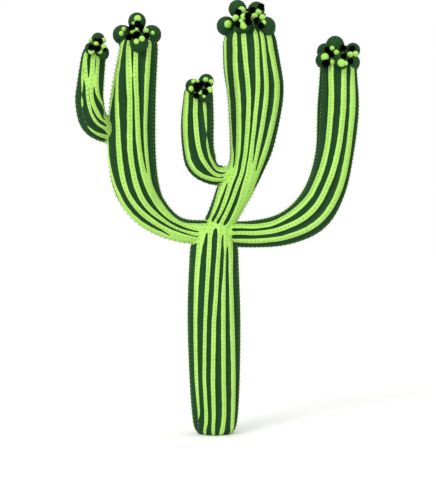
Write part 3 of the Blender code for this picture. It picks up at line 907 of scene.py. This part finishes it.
SMALL_LEFT_YOUNG = (
    (-0.023, 0.209, 0.022),
    (0.031, 0.176, 0.024),
    (0.102, 0.209, 0.027),
    (0.107, 0.147, 0.029),
    (-0.016, 0.104, 0.029),
    (0.069, 0.104, 0.025),
)
SMALL_CENTRE_YOUNG = (
    (-0.049, 0.163, 0.022),
    (-0.009, 0.168, 0.020),
    (-0.069, 0.092, 0.028),
    (0.072, 0.178, 0.028),
    (0.127, 0.160, 0.026),
    (0.116, 0.082, 0.030),
    (0.021, 0.057, 0.023),
    (0.056, 0.017, 0.017),
)


def seats_on_tip(tip, places):
    """Where places seen from the front, and again at the back, lie on a tip.

    Returns (middle, outward, size, depth behind it) for each. A piece stands level with the
    foremost bud that it touches, so that none hides it, and reaches back to what is behind.
    """
    seats = []
    depsgraph = bpy.context.evaluated_depsgraph_get()
    for facing in (1, -1):
        viewer = tip + facing * (VIEW_POINT - tip)
        viewer.z = VIEW_POINT.z
        for x, z, size in places:
            target = tip + Vector((facing * x, 0, z))
            hits = []
            for turn in range(-1, RING_LOOKS):
                aim = target.copy()
                if turn >= 0:
                    round_place = math.tau * turn / RING_LOOKS
                    aim.x += LOOK_REACH * size * math.cos(round_place)
                    aim.z += LOOK_REACH * size * math.sin(round_place)
                sight = (aim - viewer).normalized()
                found, seat, normal, _, _, _ = bpy.context.scene.ray_cast(
                    depsgraph, viewer, sight
                )
                if found:
                    hits.append(((seat - viewer).length, turn, normal))
            if not hits:
                continue
            nearest, _, normal = min(hits)
            behind = [distance for distance, turn, _ in hits if turn < 0]
            sight = (target - viewer).normalized()
            outward = (SURFACE_LEAN * normal - sight).normalized()
            depth = behind[0] - nearest if behind else 0.0
            seats.append((viewer + nearest * sight, outward, size, depth))
    return seats


def stalked(pattern, name, seat, outward, size, depth, turn):
    """A copy whose lower half is drawn out backwards until it reaches what it grows from."""
    item = copy_onto(pattern, name, Vector(), Vector((0, 0, 1)), size, turn)
    points = mesh_points(item)
    low = np.clip(-points[:, 2] / size, 0, 1)
    points[:, :2] *= (1 - STALK_TAPER * low)[:, None]
    points[:, 2] -= low * (depth + STALK_ROOT * size)
    item.data.vertices.foreach_set("co", points.ravel())
    turned = outward.to_track_quat("Z", "Y").to_matrix().to_4x4()
    item.data.transform(Matrix.Translation(seat) @ turned)
    return item


def grow_clusters(pattern, piece_name, cluster_name, places_on_tips, turn):
    """Copies of a pattern on every tip: for each, the name of its cluster and the pieces."""
    clusters = []
    for (limb_name, grown), places in zip(TIPS, places_on_tips):
        made = []
        for number, (seat, outward, size, depth) in enumerate(seats_on_tip(grown["tip"], places)):
            made.append(stalked(pattern, piece_name, seat, outward, size, depth, turn * number))
        clusters.append((f"{limb_name}_{cluster_name}", made))
    return clusters


def joined(name, items):
    """Several pieces made into one."""
    bpy.ops.object.select_all(action="DESELECT")
    for item in items:
        item.select_set(True)
    bpy.context.view_layer.objects.active = items[0]
    bpy.ops.object.join()
    items[0].name = name
    return items[0]


young_pattern = scaly_ball(
    "young_pattern", YOUNG_SEGMENTS, YOUNG_RINGS, YOUNG_SCALES, YOUNG_SCALE_ROWS, YOUNG_RELIEF
)
young_flesh = scale_finish("young_flesh", YOUNG_LIME, YOUNG_EDGE, roughness=0.5, mottle_scale=90)
young_pattern.data.materials.append(young_flesh)
TIPS = (
    ("stem", column_form),
    ("left_arm", left_arm_form),
    ("right_arm", right_arm_form),
    ("small_left_arm", small_left_form),
    ("small_centre_arm", small_centre_form),
)
YOUNG_BUDS = (STEM_YOUNG, LEFT_ARM_YOUNG, RIGHT_ARM_YOUNG, SMALL_LEFT_YOUNG, SMALL_CENTRE_YOUNG)
young_clusters = grow_clusters(young_pattern, "young_bud", "young_buds", YOUNG_BUDS, YOUNG_TURN)


# Dried flowers
# Black shrivelled remains of last year's flowers, each a puckered button with a twisted tuft.
# They cling between the buds, at the front and at the back.
DRIED_SEGMENTS = 28
DRIED_RINGS = 14
DRIED_FLATNESS = 0.75
DRIED_TURN = 1.7
# Puckers of the petals: (depth, folds round the flower, how far they twist on the way down)
DRIED_PUCKERS = ((0.10, 7, 2), (0.06, 4, -5))
TUFT_HEIGHT = 0.45
TUFT_NARROWNESS = 3.2
TUFT_CURVE = 0.6
DRIED_BLACK = (0.0003, 0.0008, 0.0003)
DRIED_BROWN = (0.0016, 0.0018, 0.0009)

# Places on each tip, given as for the young buds
STEM_DRIED = (
    (-0.120, 0.377, 0.036),
    (-0.027, 0.344, 0.033),
    (-0.021, 0.282, 0.036),
    (-0.128, 0.259, 0.033),
    (0.022, 0.403, 0.033),
    (0.108, 0.434, 0.036),
    (0.064, 0.302, 0.029),
    (0.108, 0.246, 0.033),
)
LEFT_ARM_DRIED = (
    (-0.071, 0.220, 0.029),
    (-0.009, 0.260, 0.031),
    (0.022, 0.218, 0.033),
    (-0.015, 0.155, 0.033),
    (-0.040, 0.136, 0.029),
    (-0.094, 0.127, 0.032),
    (0.079, 0.143, 0.030),
)
RIGHT_ARM_DRIED = (
    (-0.112, 0.227, 0.032),
    (-0.073, 0.176, 0.031),
    (-0.125, 0.089, 0.041),
    (0.052, 0.244, 0.032),
    (0.141, 0.237, 0.032),
    (0.055, 0.160, 0.031),
    (0.124, 0.112, 0.031),
)
SMALL_LEFT_DRIED = (
    (0.069, 0.203, 0.029),
    (0.026, 0.219, 0.015),
    (-0.016, 0.142, 0.032),
    (0.046, 0.131, 0.032),
    (0.119, 0.121, 0.018),
)
SMALL_CENTRE_DRIED = (
    (-0.024, 0.122, 0.032),
    (-0.007, 0.090, 0.032),
    (0.029, 0.145, 0.028),
    (0.091, 0.127, 0.031),
    (0.066, 0.059, 0.032),
    (-0.021, 0.022, 0.031),
)
DRIED_FLOWERS = (STEM_DRIED, LEFT_ARM_DRIED, RIGHT_ARM_DRIED, SMALL_LEFT_DRIED, SMALL_CENTRE_DRIED)

dried_pattern, points, down, around = unit_ball("dried_pattern", DRIED_SEGMENTS, DRIED_RINGS)
puckers = [depth * np.cos(folds * around + twist * down) for depth, folds, twist in DRIED_PUCKERS]
points *= (1 + sum(puckers) * np.sin(down))[:, None]
points[:, 2] *= DRIED_FLATNESS
tuft = np.clip(1 - TUFT_NARROWNESS * down / math.pi, 0, 1)
points[:, 2] += TUFT_HEIGHT * tuft**TUFT_CURVE
dried_pattern.data.vertices.foreach_set("co", points.ravel())
bpy.ops.object.shade_smooth()
dried_finish, shader, nodes, links, place = new_material(
    "dried_petals", roughness=0.9, specular=0.015
)
fibre = noise(nodes, links, place, scale=120, detail=4)
petals = blend_colours(nodes, links, fibre, DRIED_BLACK, DRIED_BROWN)
links.new(petals, shader.inputs["Base Color"])
links.new(bump(nodes, links, fibre, strength=0.6, distance=0.002), shader.inputs["Normal"])
dried_pattern.data.materials.append(dried_finish)

dried_clusters = grow_clusters(
    dried_pattern, "dried_flower", "dried_flowers", DRIED_FLOWERS, DRIED_TURN
)
# The clusters are joined only now, because the dried flowers were seated among the young buds
for cluster_name, made in (*young_clusters, *dried_clusters):
    cluster = joined(cluster_name, made)
    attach(cluster, "root")
bpy.data.objects.remove(young_pattern)
bpy.data.objects.remove(dried_pattern)


# Spine cushions
# Every 40 mm along a crest sits a felted cushion with a star of straw-coloured spines and a
# few longer ones in the middle. One is modelled and copied onto every crest, and those on the
# dark crests are smaller.
CUSHION_RADIUS = 0.0065
CUSHION_SHAPE = (0.8, 1.2, 0.55)
CUSHION_SINK = 0.001
OUTER_SPINES = 10
OUTER_SPINE_LENGTH = 0.010
OUTER_LEAN = 68
MIDDLE_SPINES = 4
MIDDLE_SPINE_LENGTH = 0.014
MIDDLE_LEAN = 26
MIDDLE_TURN = 0.1
SPINE_RADIUS = 0.0005
SPINE_START = 0.002
# Stars: least and greatest size, size on a dark crest, the most that one is turned either way
# in radians, and the share of another limb's radius within which a star would be hidden
STAR_SIZES = (0.85, 1.15)
DARK_RIB_SHARE = 0.6
STAR_TURN = 0.4
HIDDEN_SHARE = 0.97
STRAW = (0.330, 0.480, 0.150)
STRAW_TIP = (0.240, 0.290, 0.110)
FELT = (0.320, 0.500, 0.140)


def star_finish(name, colour, second_colour, roughness):
    """Plain finish of felt or horn, which varies from star to star."""
    material, shader, nodes, links, place = new_material(name, roughness, specular=0.25)
    mottle = noise(nodes, links, place, scale=55, detail=3)
    varied = spread(nodes, links, mottle, low=0.35, high=0.65)
    tint = blend_colours(nodes, links, varied, colour, second_colour)
    links.new(tint, shader.inputs["Base Color"])
    return material


bpy.ops.object.select_all(action="DESELECT")
bpy.ops.mesh.primitive_uv_sphere_add(segments=8, ring_count=6, radius=CUSHION_RADIUS)
cushion = bpy.context.object
bpy.ops.object.mode_set(mode="EDIT")
bpy.ops.mesh.select_all(action="SELECT")
bpy.ops.mesh.bisect(plane_co=(0, 0, 0), plane_no=(0, 0, 1), clear_inner=True)
bpy.ops.mesh.select_all(action="SELECT")
bpy.ops.transform.resize(value=CUSHION_SHAPE, center_override=(0, 0, 0))
bpy.ops.object.mode_set(mode="OBJECT")
cushion.data.materials.append(star_finish("areole_felt", FELT, STRAW, roughness=0.9))
spine_finish = star_finish("spine_horn", STRAW, STRAW_TIP, roughness=0.5)
star = [cushion]
# Each spine: (turn round the cushion, degrees that it leans over, length)
spines = [(k / OUTER_SPINES, OUTER_LEAN, OUTER_SPINE_LENGTH) for k in range(OUTER_SPINES)]
spines += [
    (k / MIDDLE_SPINES + MIDDLE_TURN, MIDDLE_LEAN, MIDDLE_SPINE_LENGTH)
    for k in range(MIDDLE_SPINES)
]
for turn, lean, length in spines:
    aside = math.sin(math.radians(lean))
    aim = Vector(
        (
            aside * math.cos(math.tau * turn),
            aside * math.sin(math.tau * turn),
            math.cos(math.radians(lean)),
        )
    )
    bpy.ops.mesh.primitive_cone_add(
        vertices=3,
        radius1=SPINE_RADIUS,
        depth=length,
        end_fill_type="NOTHING",
        location=aim * (SPINE_START + length / 2),
        rotation=aim.to_track_quat("Z", "Y").to_euler(),
    )
    bpy.context.object.data.materials.append(spine_finish)
    star.append(bpy.context.object)
star_pattern = joined("star_pattern", star)


def inside(points, grown):
    """Which points lie inside the skin of another limb."""
    apart = np.linalg.norm(points[..., None, :] - grown["middles"], axis=-1)
    return (apart < HIDDEN_SHARE * grown["radii"]).any(axis=-1)


def grow_stars(name, grown, others, seed):
    """The cushions and spines of one limb as one mesh, each sized and turned by chance."""
    chance = np.random.default_rng(seed)
    crests = grown["crests"]
    upward = unit(np.gradient(crests, axis=0))
    outward = unit(crests - grown["middles"][:, None])
    outward = unit(outward - upward * (outward * upward).sum(axis=2, keepdims=True))
    # A star sits on every second ring, by turns on neighbouring ribs, and not where limbs meet
    rings, ribs = crests.shape[:2]
    ring, rib = np.meshgrid(np.arange(rings), np.arange(ribs), indexing="ij")
    chosen = ((ring + rib) % 2 == 0) & (ring > 0) & (ring < rings - 2)
    for other in others:
        chosen &= ~inside(crests, other)
    seats, ups, outs = crests[chosen], upward[chosen], outward[chosen]
    dark = grown["limes"][chosen] < FULL_WIDTH
    sides = np.cross(ups, outs)
    sizes = chance.uniform(*STAR_SIZES, len(seats)) * np.where(dark, DARK_RIB_SHARE, 1)
    turns = chance.uniform(-STAR_TURN, STAR_TURN, len(seats))
    across = np.cos(turns)[:, None] * sides + np.sin(turns)[:, None] * ups
    along = np.cross(outs, across)
    placed = np.tile(np.eye(4), (len(seats), 1, 1))
    placed[:, :3, :3] = np.stack([across, along, outs], axis=2) * sizes[:, None, None]
    placed[:, :3, 3] = seats - CUSHION_SINK * outs
    stars = joined(name, [placed_copy(star_pattern, name, Matrix(place)) for place in placed])
    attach(stars, "root")


for seed, (limb_name, grown) in enumerate(TIPS):
    others = [form for _, form in TIPS if form is not grown]
    grow_stars(f"{limb_name}_spines", grown, others, seed)
bpy.data.objects.remove(star_pattern)
